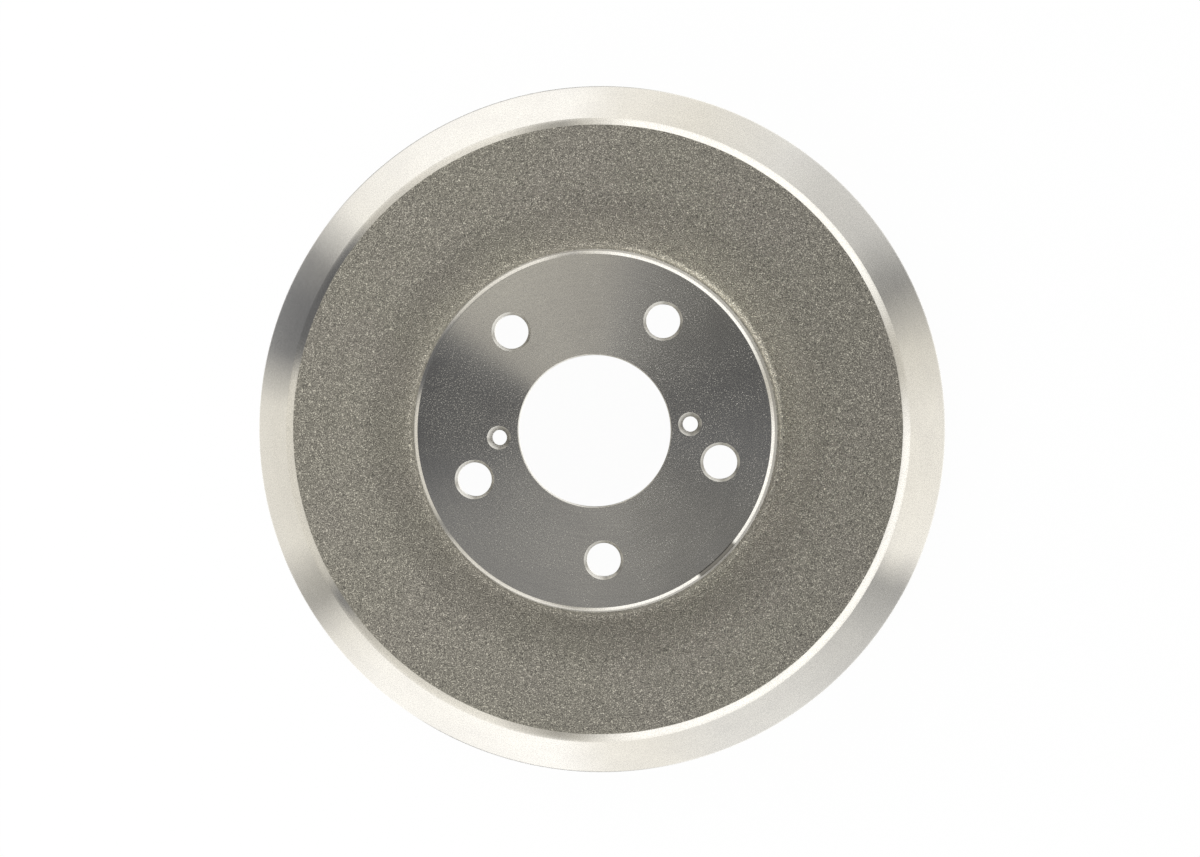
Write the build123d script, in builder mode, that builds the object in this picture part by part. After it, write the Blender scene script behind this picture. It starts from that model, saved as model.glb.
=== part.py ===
from build123d import *

import os
from math import atan, isclose, radians, tan

# Brake drum, cast in grey iron as one piece and turned where it seats, runs or shows.
#
# The drum stands on its open rim. The origin is on its axis in the plane of that rim, and +Z
# points out of the wheel face. Sections are drawn by radius and by height above the rim, and
# a depth is measured down from the wheel face. Sizes are in millimetres, angles in degrees.

# Overall: the track that the shoes rub on, and the height from open rim to wheel face
TRACK_DIAMETER = 270.0
DRUM_HEIGHT = 82.0

# Hub plate, clamped between the axle flange and the wheel
HUB_THICKNESS = 8.0
BORE_DIAMETER = 67.1
BORE_CHAMFER = 0.8
COUNTERSINK_ANGLE = 90.0
HOLE_BACK_CHAMFER = 0.5

# Stud holes, with the first one straight down the -Y side
STUD_CIRCLE_DIAMETER = 114.3
STUD_COUNT = 5
STUD_HOLE_DIAMETER = 15.0
STUD_HOLE_CHAMFER = 1.2
STUD_FIRST_ANGLE = -90.0

# Jacking holes on the X axis, tapped M8 for the screws that push a stuck drum off its hub
JACK_COUNT = 2
JACK_DRILL_DIAMETER = 6.8
JACK_SINK_DIAMETER = 10.5
JACK_BEYOND_BORE = 8.75

# Hub boss: its upper side is turned, and its foot is left as cast
FACE_BEYOND_STUD_HOLES = 13.5
BOSS_CHAMFER = 1.5
BOSS_TURNED_DEPTH = 10.5
BOSS_TURNED_DRAFT = 7.5
BOSS_TURNED_STEP = 0.4
BOSS_DEPTH = 16.5
BOSS_CAST_DRAFT = 9.0
BOSS_FOOT_ROUNDING = 3.0

# Pocket inside the boss, where the axle flange seats against the hub plate
SEAT_BEYOND_STUD_HOLES = 9.4
POCKET_DRAFT = 5.0
POCKET_MOUTH_CHAMFER = 3.0

# Web, left as cast: level beside the boss, then falling to the shoulder
WEB_THICKNESS = 8.0
WEB_LEVEL_WIDTH = 21.8
WEB_FALL = 12.0
WEB_BEND_ROUNDING = 30.0
WEB_CORNER_ROUNDING = 4.0

# Shoulder bevel, where the turned outside begins
SHOULDER_BEYOND_TRACK = 2.5
SHOULDER_BEVEL = 3.8

# Relief groove, where the boring tool runs out at the inner end of the track
RELIEF_BELOW_CORNER = 1.0
RELIEF_WIDTH = 4.0
RELIEF_DEPTH = 1.2
TRACK_ENTRY_CHAMFER = 1.5

# Rim, with a groove in its face that runs round the lip of the backing plate
RIM_BEYOND_TRACK = 24.5
RIM_LAND_HEIGHT = 14.0
RIM_EDGE_CHAMFER = 0.8
RIM_GROOVE_BEYOND_TRACK = 11.0
RIM_GROOVE_WIDTH = 7.0
RIM_GROOVE_DEPTH = 6.0
RIM_GROOVE_SIDE_ANGLE = 80.0

# Heights above the open rim
face_z = DRUM_HEIGHT
seat_z = face_z - HUB_THICKNESS
web_z = face_z - BOSS_DEPTH
shoulder_z = web_z - WEB_FALL

# Radii, from the axis outwards
bore_r = BORE_DIAMETER / 2
jack_circle_r = bore_r + JACK_BEYOND_BORE
jack_drill_r = JACK_DRILL_DIAMETER / 2
stud_circle_r = STUD_CIRCLE_DIAMETER / 2
stud_hole_r = STUD_HOLE_DIAMETER / 2
stud_outer_r = stud_circle_r + stud_hole_r
seat_r = stud_outer_r + SEAT_BEYOND_STUD_HOLES
face_r = stud_outer_r + FACE_BEYOND_STUD_HOLES
track_r = TRACK_DIAMETER / 2
shoulder_r = track_r + SHOULDER_BEYOND_TRACK
rim_r = track_r + RIM_BEYOND_TRACK

# The boss widens downwards: a turned side, a small step, then the cast side to its foot
turned_top_z = face_z - BOSS_CHAMFER
turned_foot_z = face_z - BOSS_TURNED_DEPTH
cast_top_z = turned_foot_z - BOSS_TURNED_STEP
turned_top_r = face_r + BOSS_CHAMFER
turned_foot_r = turned_top_r + (turned_top_z - turned_foot_z) * tan(radians(BOSS_TURNED_DRAFT))
cast_top_r = turned_foot_r + BOSS_TURNED_STEP
boss_foot_r = cast_top_r + (cast_top_z - web_z) * tan(radians(BOSS_CAST_DRAFT))
web_bend_r = boss_foot_r + WEB_LEVEL_WIDTH

# The underside of the web runs parallel to its top, one web thickness away
web_slope = atan(WEB_FALL / (shoulder_r - web_bend_r))
under_web_z = web_z - WEB_THICKNESS
under_bend_r = web_bend_r - WEB_THICKNESS * tan(web_slope / 2)
pocket_mouth_z = under_web_z + POCKET_MOUTH_CHAMFER
pocket_mouth_r = seat_r + (seat_z - pocket_mouth_z) * tan(radians(POCKET_DRAFT))
track_corner_z = under_web_z - (track_r - under_bend_r) * tan(web_slope)
relief_top_z = track_corner_z - RELIEF_BELOW_CORNER


def half_section(*corners):
    """Draw a closed outline from corners given as a radius, a height and a rounding."""
    FilletPolyline(
        [(radius, height) for radius, height, rounding in corners],
        radius=[rounding for radius, height, rounding in corners],
        close=True,
    )


def round_edges(part, radius):
    """Pick the part's circular edges of one radius, from the lowest to the highest."""
    circles = part.edges().filter_by(GeomType.CIRCLE)
    return circles.filter_by(lambda edge: isclose(edge.radius, radius)).sort_by(Axis.Z)


with BuildPart() as brake_drum:
    # Outside: wheel face, boss, web, shoulder bevel, flared wall and rim
    with BuildSketch(Plane.XZ):
        with BuildLine():
            half_section(
                (0, face_z, 0),
                (face_r, face_z, 0),
                (turned_top_r, turned_top_z, 0),
                (turned_foot_r, turned_foot_z, 0),
                (cast_top_r, cast_top_z, 0),
                (boss_foot_r, web_z, BOSS_FOOT_ROUNDING),
                (web_bend_r, web_z, WEB_BEND_ROUNDING),
                (shoulder_r, shoulder_z, 0),
                (shoulder_r + SHOULDER_BEVEL, shoulder_z - SHOULDER_BEVEL, 0),
                (rim_r, RIM_LAND_HEIGHT, 0),
                (rim_r, 0, 0),
                (0, 0, 0),
            )
        make_face()
    revolve(axis=Axis.Z)

    # Inside: axle flange seat, pocket, underside of the web, and the track
    with BuildSketch(Plane.XZ):
        with BuildLine():
            half_section(
                (0, seat_z, 0),
                (seat_r, seat_z, 0),
                (pocket_mouth_r, pocket_mouth_z, 0),
                (pocket_mouth_r + POCKET_MOUTH_CHAMFER, under_web_z, 0),
                (under_bend_r, under_web_z, 0),
                (track_r, track_corner_z, WEB_CORNER_ROUNDING),
                (track_r, 0, 0),
                (0, 0, 0),
            )
        make_face()
    revolve(axis=Axis.Z, mode=Mode.SUBTRACT)

    # Grooves turned at the inner end of the track and in the face of the rim
    with BuildSketch(Plane.XZ):
        with Locations((track_r, relief_top_z)):
            Rectangle(2 * RELIEF_DEPTH, RELIEF_WIDTH, align=(Align.CENTER, Align.MAX))
        with Locations((track_r + RIM_GROOVE_BEYOND_TRACK, 0)):
            Trapezoid(
                RIM_GROOVE_WIDTH,
                RIM_GROOVE_DEPTH,
                RIM_GROOVE_SIDE_ANGLE,
                align=(Align.MIN, Align.MIN),
            )
    revolve(axis=Axis.Z, mode=Mode.SUBTRACT)

    # Centre bore, stud holes and jacking holes, drilled from the wheel face
    with Locations(Plane.XY.offset(face_z)):
        Hole(bore_r)
        with PolarLocations(stud_circle_r, STUD_COUNT, start_angle=STUD_FIRST_ANGLE):
            CounterSinkHole(
                radius=stud_hole_r,
                counter_sink_radius=stud_hole_r + STUD_HOLE_CHAMFER,
                counter_sink_angle=COUNTERSINK_ANGLE,
            )
        with PolarLocations(jack_circle_r, JACK_COUNT):
            CounterSinkHole(
                radius=jack_drill_r,
                counter_sink_radius=JACK_SINK_DIAMETER / 2,
                counter_sink_angle=COUNTERSINK_ANGLE,
            )

    # Edges broken at the bore, at the far end of each drilled hole, and at the rim and track
    chamfer(round_edges(brake_drum, bore_r), BORE_CHAMFER)
    for hole_r, hole_count in ((stud_hole_r, STUD_COUNT), (jack_drill_r, JACK_COUNT)):
        chamfer(round_edges(brake_drum, hole_r)[:hole_count], HOLE_BACK_CHAMFER)
    chamfer(round_edges(brake_drum, rim_r)[0], RIM_EDGE_CHAMFER)
    chamfer(round_edges(brake_drum, track_r)[0], TRACK_ENTRY_CHAMFER)

brake_drum.part.label = "brake_drum"

os.makedirs("parts", exist_ok=True)
export_step(brake_drum.part, "parts/brake_drum.step")
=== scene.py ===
from math import ceil, cos, pi, radians, sin, tan

import bmesh
import bpy
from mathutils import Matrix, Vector, noise


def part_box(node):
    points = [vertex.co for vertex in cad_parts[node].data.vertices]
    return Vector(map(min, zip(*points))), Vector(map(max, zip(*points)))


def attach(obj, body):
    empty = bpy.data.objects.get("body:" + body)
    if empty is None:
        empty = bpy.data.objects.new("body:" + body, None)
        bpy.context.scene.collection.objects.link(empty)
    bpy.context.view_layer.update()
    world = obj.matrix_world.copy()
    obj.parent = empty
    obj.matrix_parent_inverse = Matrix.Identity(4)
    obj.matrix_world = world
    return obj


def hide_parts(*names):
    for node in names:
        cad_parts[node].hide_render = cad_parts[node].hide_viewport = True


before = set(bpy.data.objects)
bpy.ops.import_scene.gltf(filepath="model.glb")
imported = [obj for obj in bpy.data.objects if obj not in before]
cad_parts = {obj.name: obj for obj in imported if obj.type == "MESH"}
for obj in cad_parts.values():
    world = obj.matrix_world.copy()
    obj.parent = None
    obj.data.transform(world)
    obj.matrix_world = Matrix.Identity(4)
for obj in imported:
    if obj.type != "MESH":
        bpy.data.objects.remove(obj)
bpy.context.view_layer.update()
drum_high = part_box("brake_drum")[1]

# ---- The casting -------------------------------------------------------------------------
# The drum is one grey-iron casting, poured in a green-sand mould and shot-blasted clean. From
# the hub boss to the shoulder, and under the web, it keeps the pebbled skin of the sand.
# Lengths are in millimetres, and a corner is given as radius, height above the rim, rounding.

MM = 0.001
SEGMENTS = 512
FACE_HEIGHT = drum_high.z / MM
RIM_RADIUS = drum_high.x / MM

BOSS_STEP = (81.235, 71.1)
BOSS_FOOT = (82.12, 65.5, 3.0)
WEB_BEND = (103.92, 65.5, 30.0)
SHOULDER = (137.5, 53.5)
TRACK_CORNER = (134.56, 44.9)
UNDER_CORNER = (134.0, 46.1, 1.2)
UNDER_BEND = (102.53, 57.5, 8.0)
POCKET_LIP = (78.2, 57.5, 2.0)
POCKET_MOUTH = (75.2, 60.5, 2.0)
SEAT_EDGE = (74.05, 74.0)

SKIN_SPACING, UNDER_SPACING = 1.2, 1.7
LEAST_ARC_STEPS = 3
LUMP_SIZE, LUMP_DEPTH = 14.0, 0.10
PEBBLE_SIZE, PEBBLE_DEPTH = 3.2, 0.06
SKIN_FADE_RINGS = 3
SEAM_SHIFT, SEAM_AZIMUTH, SEAM_RINGS = 0.4, radians(65), 8
SEAM_WAVER, SEAM_WAVES = 0.12, 9.0

SAND_SKIN, TURNED, SIDE_TURNED, FACED, DRILLED, TAPPED = range(6)
drum = bmesh.new()


def spaced(start, end, spacing):
    """Points after start, up to and with end, no further apart than spacing."""
    steps = ceil((end - start).length / spacing)
    return [start.lerp(end, step / steps) for step in range(1, steps + 1)]


def rounded_path(corners, spacing):
    """Points along a chain of corners, with an arc at each corner that has a rounding."""
    points = [Vector(corners[0][:2])]
    for before, corner, after in zip(corners, corners[1:], corners[2:]):
        here, rounding = Vector(corner[:2]), (*corner, 0)[2]
        back = (Vector(before[:2]) - here).normalized()
        onward = (Vector(after[:2]) - here).normalized()
        half_angle = back.angle(onward) / 2
        arc = [here]
        if rounding:
            centre = here + (back + onward).normalized() * rounding / sin(half_angle)
            start = (here + back * rounding / tan(half_angle) - centre).normalized()
            end = (here + onward * rounding / tan(half_angle) - centre).normalized()
            steps = max(LEAST_ARC_STEPS, ceil(rounding * start.angle(end) / spacing))
            turns = [start.slerp(end, step / steps) for step in range(steps + 1)]
            arc = [centre + turn * rounding for turn in turns]
        points += spaced(points[-1], arc[0], spacing) + arc[1:]
    return points + spaced(points[-1], Vector(corners[-1][:2]), spacing)


def ring(radius, height, centre=(0, 0), segments=SEGMENTS):
    """A level circle of vertices."""
    angles = [2 * pi * index / segments for index in range(segments)]
    return [
        drum.verts.new(
            Vector((centre[0] + radius * cos(a), centre[1] + radius * sin(a), height)) * MM
        )
        for a in angles
    ]


def join(first, second, finish):
    """A smooth band of faces between two circles."""
    for index in range(len(first)):
        after = (index + 1) % len(first)
        face = drum.faces.new((first[after], first[index], second[index], second[after]))
        face.material_index = finish
        face.smooth = True


def revolve(corners, spacing, finish, start=None, end=None, centre=(0, 0), segments=SEGMENTS):
    """Turn a chain of corners round a vertical axis, with the metal on the chain's right.

    A start or an end is a circle that exists already, so the new surface is joined to it.
    """
    path = rounded_path(corners, spacing)
    rings = [start or ring(*path[0], centre, segments)]
    rings += [ring(*point, centre, segments) for point in path[1:-1]]
    rings.append(end or ring(*path[-1], centre, segments))
    for first, second in zip(rings, rings[1:]):
        join(first, second, finish)
    return rings


web_top = revolve([BOSS_STEP, BOSS_FOOT, WEB_BEND, SHOULDER], SKIN_SPACING, SAND_SKIN)
under_web = revolve(
    [TRACK_CORNER, UNDER_CORNER, UNDER_BEND, POCKET_LIP, POCKET_MOUTH, SEAT_EDGE],
    UNDER_SPACING,
    SAND_SKIN,
)

# The skin stands up and sinks in soft lumps and in pebbles, and fades where the tool cut it
drum.normal_update()
for skin in (web_top, under_web):
    for index, circle in enumerate(skin):
        fade = min(1, min(index, len(skin) - 1 - index) / SKIN_FADE_RINGS)
        for vertex in circle:
            lump = noise.noise(vertex.co / (LUMP_SIZE * MM)) * LUMP_DEPTH
            pebble = noise.noise(vertex.co / (PEBBLE_SIZE * MM)) * PEBBLE_DEPTH
            vertex.co += vertex.normal * (lump + pebble) * fade * MM

# The casting sits a little off the lathe's axis, so the bevel cuts wider on one side of it
seam_start = len(web_top) - SEAM_RINGS
toward = Vector((cos(SEAM_AZIMUTH), sin(SEAM_AZIMUTH), 0))
for index, circle in enumerate(web_top[seam_start:], 1):
    for vertex in circle:
        around = Vector((vertex.co.x, vertex.co.y, 0)).normalized()
        shift = around.dot(toward) * SEAM_SHIFT + noise.noise(around * SEAM_WAVES) * SEAM_WAVER
        vertex.co += (around - Vector((0, 0, 1))) * shift * index / SEAM_RINGS * MM


def linear(colour):
    """An sRGB hex colour as linear red, green, blue and alpha."""
    channels = [int(colour[place : place + 2], 16) / 255 for place in (1, 3, 5)]
    return [c / 12.92 if c <= 0.04045 else ((c + 0.055) / 1.055) ** 2.4 for c in channels] + [1]


def add_node(tree, kind, inputs=None, **settings):
    """Add a node, set its settings, and give each input its value or the output it takes."""
    node = tree.nodes.new(kind)
    for name, value in settings.items():
        setattr(node, name, value)
    for name, value in (inputs or {}).items():
        if isinstance(value, bpy.types.NodeSocket):
            tree.links.new(value, node.inputs[name])
        else:
            node.inputs[name].default_value = value
    return node


def emptied_tree(owner):
    """The node tree of a material or a world, without the nodes that Blender puts in it."""
    owner.use_nodes = True
    owner.node_tree.nodes.clear()
    return owner.node_tree


# Sand-cast skin, shot-blasted: dull grey with a faint olive cast, pebbled at the size of the
# sand grains. A few bright points are painted on the tops of the grains, as glints where the
# light catches them and where the shot struck them bright. Beside the boss the skin is painted
# paler, as painted light, and palest in the hollow of its foot, as a painted highlight; both
# lie a little off the axis.
GRAIN_SIZE, GRAIN_HEIGHT = 0.5, 0.4
CLUMP_SIZE, CLUMP_SHARE = 1.5, 0.25
TINT_SIZE, TINT_RANGE = 40.0, (0.4, 0.6)
BODY_RANGE, GLINT_RANGE = (0.36, 0.85), (0.74, 0.95)
# Painted light beside the boss, and a painted highlight in the hollow of its foot, off-centre.
BOSS_LIGHT_CENTRE, BOSS_LIGHT_RADII, BOSS_LIGHT_SHARE = (5.0, 5.0), (76.0, 98.0), 1.55
FOOT_HIGHLIGHT_CENTRE, FOOT_HIGHLIGHT_RADII, FOOT_HIGHLIGHT_SHARE = (4.3, 2.9), (77.3, 79.8), 2.1
HEIGHT_STRETCH = 6.0

skin = bpy.data.materials.new("sand_cast_grey_iron")
tree = emptied_tree(skin)
place = add_node(tree, "ShaderNodeTexCoord").outputs["Object"]
grain = add_node(
    tree,
    "ShaderNodeTexNoise",
    {"Vector": place, "Scale": 1 / (GRAIN_SIZE * MM), "Detail": 0.5},
).outputs["Fac"]
clumps = add_node(
    tree,
    "ShaderNodeTexNoise",
    {"Vector": place, "Scale": 1 / (CLUMP_SIZE * MM), "Detail": 0.5},
).outputs["Fac"]
drift = add_node(
    tree,
    "ShaderNodeTexNoise",
    {"Vector": place, "Scale": 1 / (TINT_SIZE * MM), "Detail": 3.0},
).outputs["Fac"]
height = add_node(
    tree, "ShaderNodeMath", {0: clumps, 1: CLUMP_SHARE, 2: grain}, operation="MULTIPLY_ADD"
).outputs["Value"]
body = add_node(
    tree,
    "ShaderNodeMapRange",
    {"Value": height, "From Min": BODY_RANGE[0], "From Max": BODY_RANGE[1]},
).outputs["Result"]
grey = add_node(
    tree,
    "ShaderNodeMix",
    {0: body, 6: linear("#52504b"), 7: linear("#a5a299")},
    data_type="RGBA",
).outputs[2]
# Painted highlight: the tops of the grains turn near white, as glints.
tops = add_node(
    tree,
    "ShaderNodeMapRange",
    {"Value": height, "From Min": GLINT_RANGE[0], "From Max": GLINT_RANGE[1]},
).outputs["Result"]
glinted = add_node(
    tree,
    "ShaderNodeMix",
    {0: tops, 6: grey, 7: linear("#e6e2d6")},
    data_type="RGBA",
).outputs[2]
drifted = add_node(
    tree,
    "ShaderNodeMapRange",
    {"Value": drift, "From Min": TINT_RANGE[0], "From Max": TINT_RANGE[1]},
).outputs["Result"]
tint = add_node(
    tree,
    "ShaderNodeMix",
    {0: drifted, 6: linear("#fffdf6"), 7: linear("#fffcf7")},
    data_type="RGBA",
).outputs[2]
colour = add_node(
    tree, "ShaderNodeMix", {0: 1.0, 6: glinted, 7: tint}, data_type="RGBA", blend_type="MULTIPLY"
).outputs[2]

# Heights count several times over here, so the painted light ends at the top of the fillet
tall_place = add_node(
    tree, "ShaderNodeVectorMath", {0: place, 1: (1, 1, HEIGHT_STRETCH)}, operation="MULTIPLY"
).outputs["Vector"]
web_level = BOSS_FOOT[1] * HEIGHT_STRETCH
for centre, radii, share in (
    (BOSS_LIGHT_CENTRE, BOSS_LIGHT_RADII, BOSS_LIGHT_SHARE),
    (FOOT_HIGHLIGHT_CENTRE, FOOT_HIGHLIGHT_RADII, FOOT_HIGHLIGHT_SHARE),
):
    distance = add_node(
        tree,
        "ShaderNodeVectorMath",
        {0: tall_place, 1: Vector((*centre, web_level)) * MM},
        operation="DISTANCE",
    ).outputs["Value"]
    painted_light_share = add_node(
        tree,
        "ShaderNodeMapRange",
        {
            "Value": distance,
            "From Min": radii[0] * MM,
            "From Max": radii[1] * MM,
            "To Min": share,
            "To Max": 1.0,
        },
        interpolation_type="SMOOTHSTEP",
    ).outputs["Result"]
    colour = add_node(
        tree, "ShaderNodeVectorMath", {0: colour, "Scale": painted_light_share}, operation="SCALE"
    ).outputs["Vector"]
bump = add_node(
    tree, "ShaderNodeBump", {"Height": height, "Strength": 1.0, "Distance": GRAIN_HEIGHT * MM}
).outputs["Normal"]
shader = add_node(
    tree,
    "ShaderNodeBsdfPrincipled",
    {"Base Color": colour, "Metallic": 0.25, "Roughness": 0.45, "Normal": bump},
).outputs["BSDF"]
add_node(tree, "ShaderNodeOutputMaterial", {"Surface": shader})

# ---- The turned surfaces -------------------------------------------------------------------
# A lathe cuts the casting wherever it seats, runs or shows: the side of the boss, the bevel of
# the shoulder, the flared wall, the rim with its groove, and the track that the shoes rub on.

TURNED_SPACING = 40.0
BOSS_SIDE = (80.835, 71.5)
SIDE_TOP = (79.716, 80.0)
FACE_CHAMFER = (79.65, 80.5, 0.25)
FACE_EDGE = (78.15, FACE_HEIGHT, 0.15)
FACE_RIM = (77.8, FACE_HEIGHT)
BEVEL_FOOT = (141.3, 49.7, 0.4)
FLARE_FOOT = (RIM_RADIUS, 14.0, 10.0)
RIM_OUTSIDE = (RIM_RADIUS, 0.8, 0.3)
RIM_FOOT = (RIM_RADIUS - 0.8, 0.0, 0.3)
GROOVE = [(153.0, 0.0, 0.3), (151.94, 6.0, 0.8), (147.06, 6.0, 0.8), (146.0, 0.0, 0.3)]
TRACK_ENTRY = [(136.5, 0.0, 0.3), (135.0, 1.5, 0.3)]
RELIEF = [(135.0, 40.9, 0.2), (136.2, 40.9, 0.4), (136.2, 44.9, 0.4)]

boss_edge = revolve([FACE_RIM, FACE_EDGE, FACE_CHAMFER, SIDE_TOP], TURNED_SPACING, TURNED)
boss_side = revolve([SIDE_TOP, BOSS_SIDE], TURNED_SPACING, SIDE_TURNED, start=boss_edge[-1])
revolve([BOSS_SIDE, BOSS_STEP], TURNED_SPACING, SAND_SKIN, start=boss_side[-1], end=web_top[0])
outside = [SHOULDER, BEVEL_FOOT, FLARE_FOOT, RIM_OUTSIDE, RIM_FOOT]
revolve(
    outside + GROOVE + TRACK_ENTRY + RELIEF + [TRACK_CORNER],
    TURNED_SPACING,
    TURNED,
    start=web_top[-1],
    end=under_web[0],
)

# Turned grey iron: bright, with round tool marks that draw each reflection out across them.
# The feed of 0.2 mm is too fine to show, so the lines are drawn at three times that. Fine
# scuffs from handling glint in patches, the iron's colour drifts a little, and one darker patch
# lies across the edge of the wheel face.
LINE_PITCH = 0.6
ARC_LENGTH, ARC_WIDTH = 60.0, 0.6
SCUFF_SIZE, RAISED_RANGE = 0.55, (0.62, 0.85)
SPECKLE_RANGE, SPECKLE_SHARES = (0.4, 0.6), (0.9, 1.1)
PATCH_SIZE, WORN_RANGE = 22.0, (0.42, 0.62)
SHADE_RANGE = (0.4, 1.6)
INNER_DULLNESS = 0.3
DARK_PATCH_AZIMUTH, DARK_PATCH_REACH, DARK_PATCH_EDGE = radians(309.5), 11.6, 0.85


def turned_iron(
    name, roughness_range, line_height, scuff_height, inner_wear, lean, dark_patch_colour
):
    """Grey iron off the lathe, with its tool lines and its handling scuffs.

    The inner wear makes the middle of the drum more scuffed and duller than the outside, and
    the flanks of the tool marks lean outwards by lean.
    """
    iron = bpy.data.materials.new(name)
    tree = emptied_tree(iron)
    place = add_node(tree, "ShaderNodeTexCoord").outputs["Object"]
    flat_place = add_node(
        tree, "ShaderNodeVectorMath", {0: place, 1: (1, 1, 0)}, operation="MULTIPLY"
    ).outputs["Vector"]
    radius = add_node(
        tree, "ShaderNodeVectorMath", {0: flat_place}, operation="LENGTH"
    ).outputs["Value"]
    rise = add_node(tree, "ShaderNodeSeparateXYZ", {"Vector": place}).outputs["Z"]
    across = add_node(
        tree, "ShaderNodeMath", {0: radius, 1: rise}, operation="SUBTRACT"
    ).outputs["Value"]
    lines = add_node(
        tree,
        "ShaderNodeTexNoise",
        {"W": across, "Scale": 1 / (LINE_PITCH * MM), "Detail": 3.0, "Roughness": 0.6},
        noise_dimensions="1D",
    ).outputs["Fac"]
    outward = add_node(
        tree, "ShaderNodeVectorMath", {0: flat_place}, operation="NORMALIZE"
    ).outputs["Vector"]
    around = add_node(
        tree,
        "ShaderNodeVectorMath",
        {0: outward, "Scale": RIM_RADIUS / ARC_LENGTH},
        operation="SCALE",
    ).outputs["Vector"]
    arc_steps = add_node(
        tree, "ShaderNodeMath", {0: across, 1: 1 / (ARC_WIDTH * MM)}, operation="MULTIPLY"
    ).outputs["Value"]
    upward = add_node(tree, "ShaderNodeCombineXYZ", {"Z": arc_steps}).outputs["Vector"]
    arc_place = add_node(
        tree, "ShaderNodeVectorMath", {0: around, 1: upward}, operation="ADD"
    ).outputs["Vector"]
    arcs = add_node(
        tree, "ShaderNodeTexNoise", {"Vector": arc_place, "Scale": 1.0, "Detail": 3.0}
    ).outputs["Fac"]
    patches = add_node(
        tree,
        "ShaderNodeTexNoise",
        {"Vector": place, "Scale": 1 / (PATCH_SIZE * MM), "Detail": 3.0},
    ).outputs["Fac"]
    scuffs = add_node(
        tree,
        "ShaderNodeTexNoise",
        {"Vector": place, "Scale": 1 / (SCUFF_SIZE * MM), "Detail": 1.0},
    ).outputs["Fac"]
    shade = add_node(
        tree, "ShaderNodeMath", {0: arcs, 1: patches}, operation="ADD"
    ).outputs["Value"]
    shade = add_node(
        tree,
        "ShaderNodeMapRange",
        {"Value": shade, "From Min": SHADE_RANGE[0], "From Max": SHADE_RANGE[1]},
    ).outputs["Result"]
    colour = add_node(
        tree,
        "ShaderNodeMix",
        {0: shade, 6: linear("#cbc8c2"), 7: linear("#dfdcd3")},
        data_type="RGBA",
    ).outputs[2]
    speckled = add_node(
        tree,
        "ShaderNodeMapRange",
        {
            "Value": scuffs,
            "From Min": SPECKLE_RANGE[0],
            "From Max": SPECKLE_RANGE[1],
            "To Min": SPECKLE_SHARES[0],
            "To Max": SPECKLE_SHARES[1],
        },
    ).outputs["Result"]
    colour = add_node(
        tree, "ShaderNodeVectorMath", {0: colour, "Scale": speckled}, operation="SCALE"
    ).outputs["Vector"]
    # A darker patch is coloured in around one point on the edge of the wheel face.
    dark_patch_radius, dark_patch_height = FACE_CHAMFER[:2]
    dark_patch_place = Vector((cos(DARK_PATCH_AZIMUTH), sin(DARK_PATCH_AZIMUTH), 0)) * dark_patch_radius
    dark_patch_place.z = dark_patch_height
    from_dark_patch = add_node(
        tree,
        "ShaderNodeVectorMath",
        {0: place, 1: dark_patch_place * MM},
        operation="DISTANCE",
    ).outputs["Value"]
    in_dark_patch = add_node(
        tree,
        "ShaderNodeMapRange",
        {
            "Value": from_dark_patch,
            "From Min": DARK_PATCH_REACH * DARK_PATCH_EDGE * MM,
            "From Max": DARK_PATCH_REACH * MM,
            "To Min": 1.0,
            "To Max": 0.0,
        },
    ).outputs["Result"]
    colour = add_node(
        tree,
        "ShaderNodeMix",
        {0: in_dark_patch, 6: colour, 7: linear(dark_patch_colour)},
        data_type="RGBA",
    ).outputs[2]
    fall = add_node(
        tree, "ShaderNodeMath", {0: radius, 1: -tan(lean)}, operation="MULTIPLY"
    ).outputs["Value"]
    lined = add_node(
        tree,
        "ShaderNodeMath",
        {0: lines, 1: line_height * MM, 2: fall},
        operation="MULTIPLY_ADD",
    ).outputs["Value"]
    raised = add_node(
        tree,
        "ShaderNodeMapRange",
        {"Value": scuffs, "From Min": RAISED_RANGE[0], "From Max": RAISED_RANGE[1]},
    ).outputs["Result"]
    inwards = add_node(
        tree,
        "ShaderNodeMath",
        {0: radius, 1: -inner_wear / (RIM_RADIUS * MM), 2: inner_wear / 2},
        operation="MULTIPLY_ADD",
    ).outputs["Value"]
    wear = add_node(
        tree, "ShaderNodeMath", {0: patches, 1: inwards}, operation="ADD"
    ).outputs["Value"]
    roughness = add_node(
        tree,
        "ShaderNodeMapRange",
        {"Value": arcs, "To Min": roughness_range[0], "To Max": roughness_range[1]},
    ).outputs["Result"]
    roughness = add_node(
        tree,
        "ShaderNodeMath",
        {0: inwards, 1: INNER_DULLNESS, 2: roughness},
        operation="MULTIPLY_ADD",
    ).outputs["Value"]
    worn = add_node(
        tree,
        "ShaderNodeMapRange",
        {
            "Value": wear,
            "From Min": WORN_RANGE[0],
            "From Max": WORN_RANGE[1],
            "To Max": scuff_height * MM,
        },
    ).outputs["Result"]
    height = add_node(
        tree, "ShaderNodeMath", {0: raised, 1: worn, 2: lined}, operation="MULTIPLY_ADD"
    ).outputs["Value"]
    bump = add_node(tree, "ShaderNodeBump", {"Height": height, "Distance": 1.0})
    tangent = add_node(tree, "ShaderNodeTangent", direction_type="RADIAL", axis="Z")
    shader = add_node(
        tree,
        "ShaderNodeBsdfPrincipled",
        {
            "Base Color": colour,
            "Metallic": 1.0,
            "Roughness": roughness,
            "Anisotropic": 1.0,
            "Anisotropic Rotation": 0.25,
            "Tangent": tangent.outputs["Tangent"],
            "Normal": bump.outputs["Normal"],
        },
    ).outputs["BSDF"]
    add_node(tree, "ShaderNodeOutputMaterial", {"Surface": shader})
    return iron


turned = turned_iron(
    "turned_grey_iron",
    roughness_range=(0.12, 0.20),
    line_height=0.003,
    scuff_height=0.012,
    inner_wear=0.0,
    lean=0,
    dark_patch_colour="#625f59",
)

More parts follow.
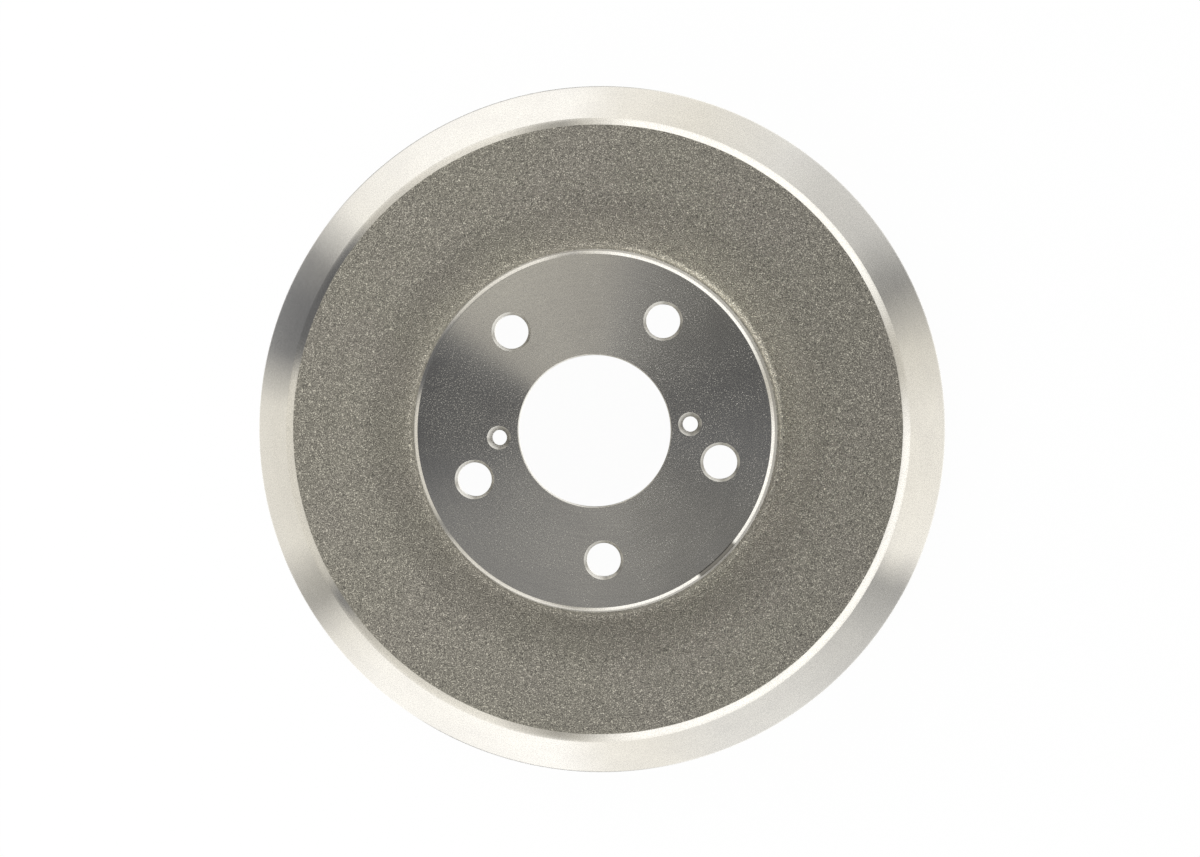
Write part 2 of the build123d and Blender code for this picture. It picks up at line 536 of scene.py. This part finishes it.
# Coarse turned grey iron: a quicker pass down the side of the boss leaves a haze, not a mirror.
side_turned = turned_iron(
    "coarse_turned_grey_iron",
    roughness_range=(0.40, 0.50),
    line_height=0.003,
    scuff_height=0.0,
    inner_wear=0.0,
    lean=0,
    dark_patch_colour="#b5b2ab",
)

# ---- The hub plate -------------------------------------------------------------------------
# The plate is faced on both sides, bored to locate on the axle, and drilled for five wheel
# studs. Each hole is countersunk from the wheel side and its far edge is broken.

SEAT_HEIGHT = SEAT_EDGE[1]
BORE_RADIUS, BORE_CHAMFER = 33.55, 0.4
STUD_CIRCLE, STUD_COUNT, STUD_FIRST = 57.15, 5, radians(-90)
STUD_RADIUS, STUD_SINK, STUD_BACK = 7.5, 1.2, 0.5
STUD_SEGMENTS = 96


def drilled_wall(radius, top_chamfer, back_chamfer):
    """The corners of a hole's wall, from the seat up to the wheel face."""
    return [
        (radius + back_chamfer, SEAT_HEIGHT),
        (radius, SEAT_HEIGHT + back_chamfer),
        (radius, FACE_HEIGHT - top_chamfer),
        (radius + top_chamfer, FACE_HEIGHT),
    ]


revolve(drilled_wall(BORE_RADIUS, BORE_CHAMFER, BORE_CHAMFER), TURNED_SPACING, DRILLED)
for number in range(STUD_COUNT):
    angle = STUD_FIRST + 2 * pi * number / STUD_COUNT
    revolve(
        drilled_wall(STUD_RADIUS, STUD_SINK, STUD_BACK),
        TURNED_SPACING,
        DRILLED,
        centre=(STUD_CIRCLE * cos(angle), STUD_CIRCLE * sin(angle)),
        segments=STUD_SEGMENTS,
    )

# Drilled grey iron: the drill leaves the walls duller and without the lathe's long lines.
SCRATCH_SIZE = 0.6
DRILLED_ROUGHNESS = (0.22, 0.4)

drilled = bpy.data.materials.new("drilled_grey_iron")
tree = emptied_tree(drilled)
place = add_node(tree, "ShaderNodeTexCoord").outputs["Object"]
scratches = add_node(
    tree,
    "ShaderNodeTexNoise",
    {"Vector": place, "Scale": 1 / (SCRATCH_SIZE * MM), "Detail": 2.0},
).outputs["Fac"]
colour = add_node(
    tree,
    "ShaderNodeMix",
    {0: scratches, 6: linear("#c0bdb6"), 7: linear("#e2e0d9")},
    data_type="RGBA",
).outputs[2]
roughness = add_node(
    tree,
    "ShaderNodeMapRange",
    {"Value": scratches, "To Min": DRILLED_ROUGHNESS[0], "To Max": DRILLED_ROUGHNESS[1]},
).outputs["Result"]
shader = add_node(
    tree,
    "ShaderNodeBsdfPrincipled",
    {"Base Color": colour, "Metallic": 1.0, "Roughness": roughness},
).outputs["BSDF"]
add_node(tree, "ShaderNodeOutputMaterial", {"Surface": shader})

# ---- The jacking holes ---------------------------------------------------------------------
# Two M8 holes stand opposite each other beside the bore. Screws driven in here push a stuck
# drum off its hub, so the walls carry a real thread, with a turn every 1.25 mm.

JACK_CIRCLE = 42.3
JACK_DRILL, JACK_MAJOR, JACK_SINK = 3.4, 4.0, 5.25
THREAD_PITCH, THREAD_FLAT = 1.25, 0.15
THREAD_SEGMENTS, THREAD_STEPS = 48, 12
RUN_OUT_STEPS = THREAD_STEPS / 2

sink_foot = FACE_HEIGHT - (JACK_SINK - JACK_DRILL)
thread_foot = SEAT_HEIGHT + JACK_MAJOR - JACK_DRILL
thread_rings = ceil((sink_foot - thread_foot) / THREAD_PITCH * THREAD_STEPS)
for side in (1, -1):
    centre = (side * JACK_CIRCLE, 0)
    circles = [ring(JACK_MAJOR, SEAT_HEIGHT, centre, THREAD_SEGMENTS)]
    for level in range(thread_rings + 1):
        height = thread_foot + (sink_foot - thread_foot) * level / thread_rings
        circle = ring(JACK_DRILL, height, centre, THREAD_SEGMENTS)
        for index, vertex in enumerate(circle):
            turn = (height / THREAD_PITCH - index / THREAD_SEGMENTS) % 1
            flank = (abs(2 * turn - 1) - THREAD_FLAT) / (1 - 2 * THREAD_FLAT)
            depth = (JACK_MAJOR - JACK_DRILL) * min(1, max(0, flank))
            depth *= min(1, (thread_rings - level) / RUN_OUT_STEPS, level / RUN_OUT_STEPS)
            middle = Vector((*centre, height)) * MM
            vertex.co += (vertex.co - middle).normalized() * depth * MM
        circles.append(circle)
    circles.append(ring(JACK_SINK, FACE_HEIGHT, centre, THREAD_SEGMENTS))
    for first, second in zip(circles, circles[1:]):
        join(first, second, TAPPED)

# Tapped grey iron: the tap tears the iron a little, so it ends up as dull as a drilled wall.
tapped = drilled.copy()
tapped.name = "tapped_grey_iron"

# ---- The wheel face and the seat -----------------------------------------------------------
# Both sides of the hub plate are faced flat on the lathe, between the edges of all its holes,
# to clamp square between the axle flange and the wheel.

LEVEL_TOLERANCE = 0.01

# Faced grey iron: a satin face that mirrors the room in wide soft wedges, more scuffed towards
# the bore. Its ridges are too fine to draw one by one, so a lean of the whole face, in the
# shading only, stands for them.
faced = turned_iron(
    "faced_grey_iron",
    roughness_range=(0.15, 0.18),
    line_height=0.0015,
    scuff_height=0.1,
    inner_wear=0.8,
    lean=radians(6),
    dark_patch_colour="#d5d2cb",
)
for height, facing in ((FACE_HEIGHT, 1), (SEAT_HEIGHT, -1)):
    edges = [
        edge
        for edge in drum.edges
        if edge.is_boundary
        and all(abs(v.co.z / MM - height) < LEVEL_TOLERANCE for v in edge.verts)
    ]
    filled = bmesh.ops.triangle_fill(drum, use_beauty=True, edges=edges, normal=(0, 0, facing))
    for face in filled["geom"]:
        if isinstance(face, bmesh.types.BMFace):
            face.material_index = FACED
            face.smooth = False

# ---- The finished drum ---------------------------------------------------------------------
# Casting, turned surfaces and holes are one closed piece of metal.

EDGE_ANGLE = radians(32)

mesh = bpy.data.meshes.new("brake_drum_finished")
drum.to_mesh(mesh)
drum.free()
for material in (skin, turned, side_turned, faced, drilled, tapped):
    mesh.materials.append(material)
mesh.set_sharp_from_angle(angle=EDGE_ANGLE)
finished = bpy.data.objects.new("brake_drum_finished", mesh)
bpy.context.scene.collection.objects.link(finished)
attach(finished, "root")
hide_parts("brake_drum")

# ---- Floor ---------------------------------------------------------------------------------
# A seamless white table under the drum, paper white to the camera, with the drum's faint
# shadow on it. It lets mirrored rays through, to the panels that stand lower than the table.
# From here on, the studio's own lengths are in metres.

FLOOR_SIZE, FLOOR_DROP = 4.0, 0.0002
SHADOW_SHARE = 0.03

bpy.ops.mesh.primitive_plane_add(size=FLOOR_SIZE, location=(0, 0, -FLOOR_DROP))
floor = bpy.context.object
floor.name = "floor"
paper = bpy.data.materials.new("white_paper")
tree = emptied_tree(paper)
ray = add_node(tree, "ShaderNodeLightPath").outputs
lit = add_node(tree, "ShaderNodeBsdfDiffuse", {"Color": linear("#ffffff")}).outputs["BSDF"]
white = add_node(tree, "ShaderNodeEmission", {"Strength": 1.0}).outputs["Emission"]
seen = add_node(
    tree, "ShaderNodeMixShader", {0: SHADOW_SHARE, 1: white, 2: lit}
).outputs["Shader"]
plain = add_node(
    tree, "ShaderNodeMixShader", {0: ray["Is Camera Ray"], 1: lit, 2: seen}
).outputs["Shader"]
clear = add_node(tree, "ShaderNodeBsdfTransparent").outputs["BSDF"]
surface = add_node(
    tree, "ShaderNodeMixShader", {0: ray["Is Glossy Ray"], 1: plain, 2: clear}
).outputs["Shader"]
add_node(tree, "ShaderNodeOutputMaterial", {"Surface": surface})
floor.data.materials.append(paper)

# ---- Light ---------------------------------------------------------------------------------
# An even pale room and two large soft lamps. The bright metal mirrors five rings of pale panels
# with dark gaps, one above the other, from straight below to straight above the drum.

ROOM_LEVEL = 0.6
PANEL_LEVEL = 1.68

# A ring runs once round as azimuth in degrees and share of the panel level, and blends into the
# next one above it. The levels were worked out from how bright the real drum looks along its
# circles, so they draw the one room that it stood in, and not a plain studio.
RING_START, FULL_TURN = 160, 360
UNDER_RING = (
    (160, 0.90), (227, 0.90), (233, 0.08), (258, 0.10), (275, 0.90), (438, 0.90),
    (449, 0.25), (460, 0.06), (497, 0.08), (507, 0.90), (520, 0.90),
)
TABLE_RING = (
    (160, 0.14), (164, 0.165), (173, 0.59), (196, 0.60), (203, 0.325), (206, 0.29),
    (213, 0.68), (222, 0.82), (255, 0.92), (264, 0.73), (272, 0.70), (284, 0.63),
    (297, 0.60), (314, 0.45), (325, 0.29), (332, 0.73), (345, 0.68), (358, 0.68),
    (370, 0.55), (382, 0.23), (385, 0.25), (394, 0.47), (407, 0.51), (414, 0.61),
    (432, 0.63), (446, 0.72), (455, 0.88), (480, 0.86), (498, 0.75), (508, 0.21),
    (515, 0.14), (520, 0.14),
)
SIDE_RING = (
    (160, 0.11), (163, 0.16), (168, 0.59), (197, 0.59), (203, 0.48),
    (207, 0.19), (210, 0.19), (213, 0.40), (222, 0.55), (243, 0.70), (253, 0.40),
    (256, 0.31), (259, 0.41), (270, 1.0), (320, 1.02), (355, 0.94),
    (366, 0.50), (373, 0.48), (386, 0.93), (390, 1.05), (441, 1.03), (452, 0.48),
    (455, 0.27), (459, 0.32), (467, 0.71), (478, 0.68), (496, 0.45), (502, 0.15),
    (507, 0.10), (520, 0.11),
)
UPPER_RING = ((160, 0.25), (284, 0.25), (298, 0.03), (406, 0.03), (418, 0.25), (520, 0.25))
CEILING_RING = (
    (160, 0.075), (180, 0.075), (192, 0.125), (204, 0.18), (215, 0.19), (240, 0.20),
    (256, 0.21), (285, 0.14), (318, 0.13), (345, 0.12), (380, 0.07), (405, 0.09),
    (430, 0.13), (440, 0.20), (452, 0.29), (478, 0.37), (504, 0.40), (510, 0.12),
    (520, 0.075),
)
UNDER_TO_TABLE = (-0.92, -0.78)
TABLE_TO_SIDE = (-0.25, -0.05)
SIDE_TO_UPPER = (0.4, 0.6)
UPPER_TO_CEILING = (0.70, 0.82)

DAYLIGHT = ((280, 325), (385, 430))
WARM_SHARES, COOL_SHARES = (1.03, 1.005, 0.945), (0.975, 0.995, 1.065)
COOL_LEVEL, WARM_LEVEL = 0.12, 0.30
PALE_LEVEL, WHITE_LEVEL, PALE_FADE = 0.6, 0.9, 0.5


def panel_colour(degrees, level):
    """Panels are a little warm, the whitest less so. Gaps are cool, and daylight is neutral."""
    if any(low <= degrees <= high for low, high in DAYLIGHT):
        return (level, level, level, 1)
    warmth = min(1, max(0, (level - COOL_LEVEL) / (WARM_LEVEL - COOL_LEVEL)))
    whiteness = min(1, max(0, (level - PALE_LEVEL) / (WHITE_LEVEL - PALE_LEVEL)))
    warmth *= 1 - PALE_FADE * whiteness
    shares = [cool + (warm - cool) * warmth for cool, warm in zip(COOL_SHARES, WARM_SHARES)]
    return [level * share for share in shares] + [1]


room = bpy.data.worlds.new("studio")
tree = emptied_tree(room)
room.cycles.sampling_method = "NONE"
ray = add_node(tree, "ShaderNodeLightPath").outputs
toward = add_node(tree, "ShaderNodeTexCoord").outputs["Generated"]
axes = add_node(tree, "ShaderNodeSeparateXYZ", {"Vector": toward}).outputs
angle = add_node(
    tree, "ShaderNodeMath", {0: axes["Y"], 1: axes["X"]}, operation="ARCTAN2"
).outputs["Value"]
turns = add_node(
    tree, "ShaderNodeMath", {0: angle, 1: 1 / (2 * pi)}, operation="MULTIPLY"
).outputs["Value"]
turns = add_node(
    tree, "ShaderNodeMath", {0: turns, 1: RING_START / FULL_TURN}, operation="SUBTRACT"
).outputs["Value"]
azimuth = add_node(tree, "ShaderNodeMath", {0: turns}, operation="FRACT").outputs["Value"]
rings = []
for panels in (UNDER_RING, TABLE_RING, SIDE_RING, UPPER_RING, CEILING_RING):
    ramp = add_node(tree, "ShaderNodeValToRGB", {"Fac": azimuth})
    for degrees, level in panels[1:-1]:
        share = (degrees - RING_START) / FULL_TURN
        ramp.color_ramp.elements.new(share).color = panel_colour(degrees, level)
    for end in (0, -1):
        ramp.color_ramp.elements[end].color = panel_colour(*panels[end])
    rings.append(ramp.outputs["Color"])
mirrored = rings[0]
changes = (UNDER_TO_TABLE, TABLE_TO_SIDE, SIDE_TO_UPPER, UPPER_TO_CEILING)
for next_ring, (low, high) in zip(rings[1:], changes):
    rise = add_node(
        tree,
        "ShaderNodeMapRange",
        {"Value": axes["Z"], "From Min": low, "From Max": high},
        interpolation_type="SMOOTHSTEP",
    ).outputs["Result"]
    mirrored = add_node(
        tree, "ShaderNodeMix", {0: rise, 6: mirrored, 7: next_ring}, data_type="RGBA"
    ).outputs[2]
even = add_node(
    tree, "ShaderNodeBackground", {"Color": linear("#ffffff"), "Strength": ROOM_LEVEL}
).outputs["Background"]
panelled = add_node(
    tree, "ShaderNodeBackground", {"Color": mirrored, "Strength": PANEL_LEVEL}
).outputs["Background"]
backdrop = add_node(
    tree, "ShaderNodeBackground", {"Color": linear("#ffffff"), "Strength": 1.0}
).outputs["Background"]
surface = add_node(
    tree, "ShaderNodeMixShader", {0: ray["Is Glossy Ray"], 1: even, 2: panelled}
).outputs["Shader"]
surface = add_node(
    tree, "ShaderNodeMixShader", {0: ray["Is Camera Ray"], 1: surface, 2: backdrop}
).outputs["Shader"]
add_node(tree, "ShaderNodeOutputWorld", {"Surface": surface})
bpy.context.scene.world = room

LAMP_AZIMUTHS = (radians(130), radians(230))
LAMP_REACH, LAMP_HEIGHT = 1.1, 0.95
LAMP_SIZE = 0.9
LAMP_WATTS = 7.0

for azimuth in LAMP_AZIMUTHS:
    lamp = bpy.data.lights.new("soft_lamp", "AREA")
    lamp.size = LAMP_SIZE
    lamp.energy = LAMP_WATTS
    lamp_object = bpy.data.objects.new("soft_lamp", lamp)
    lamp_object.location = (LAMP_REACH * cos(azimuth), LAMP_REACH * sin(azimuth), LAMP_HEIGHT)
    lamp_object.rotation_euler = lamp_object.location.to_track_quat("Z", "Y").to_euler()
    lamp_object.visible_camera = False
    lamp_object.visible_glossy = False
    bpy.context.scene.collection.objects.link(lamp_object)

# ---- Camera --------------------------------------------------------------------------------
# The camera hangs above the drum, a little to the right of its axis, and looks straight down.

CAMERA_PLACE = (0.0678, 0.0107, 1.382)
CAMERA_TURN = radians(-4.04)
CAMERA_LENS, CAMERA_SENSOR = 88.37, 36.0
CAMERA_SHIFT = (-0.1217, -0.0272)

camera = bpy.data.cameras.new("camera")
camera.lens = CAMERA_LENS
camera.sensor_width = CAMERA_SENSOR
camera.shift_x, camera.shift_y = CAMERA_SHIFT
camera_object = bpy.data.objects.new("camera", camera)
camera_object.location = CAMERA_PLACE
camera_object.rotation_euler = (0, 0, CAMERA_TURN)
bpy.context.scene.collection.objects.link(camera_object)
bpy.context.scene.camera = camera_object
bpy.context.scene.view_settings.view_transform = "Standard"
